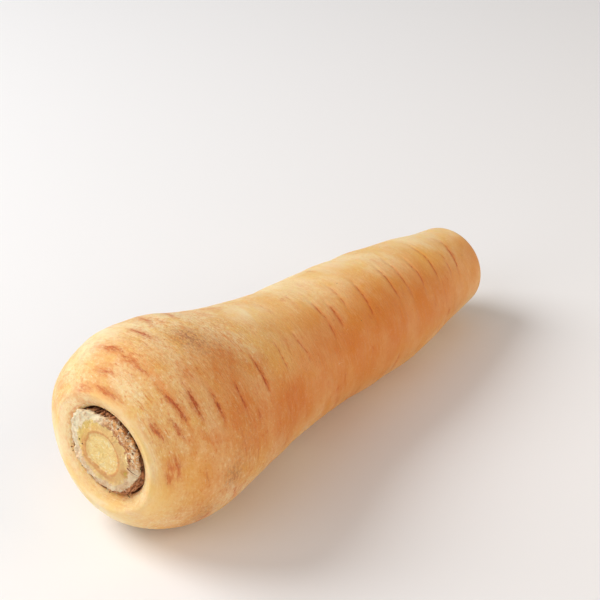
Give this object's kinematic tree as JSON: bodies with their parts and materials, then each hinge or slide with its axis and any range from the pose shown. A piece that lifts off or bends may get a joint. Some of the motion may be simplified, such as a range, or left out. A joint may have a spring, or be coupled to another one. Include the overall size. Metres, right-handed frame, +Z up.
{
  "type": "parsnip",
  "caption": "Whole parsnip root with trimmed crown and tail, lying on its side: tapered cream root, cut leaf-stalk stub in a narrow moat.",
  "frame": {"origin": "on the surface the root lies on, under the middle of its bounding box", "axes": "+X along the root from the crown to the trimmed tail, +Z up; -Y is the side nearest the camera in the picture"},
  "size_m": [0.18, 0.0622, 0.0623],
  "materials": {
    "skin": null,
    "cut_flesh": null,
    "leaf_base": "Dry, brown, papery remains of leaf bases round the stub and down in the moat, with frayed pale fibres."
  },
  "bodies": {
    "root": {"parsnip_root": "skin"}
  },
  "joints": []
}
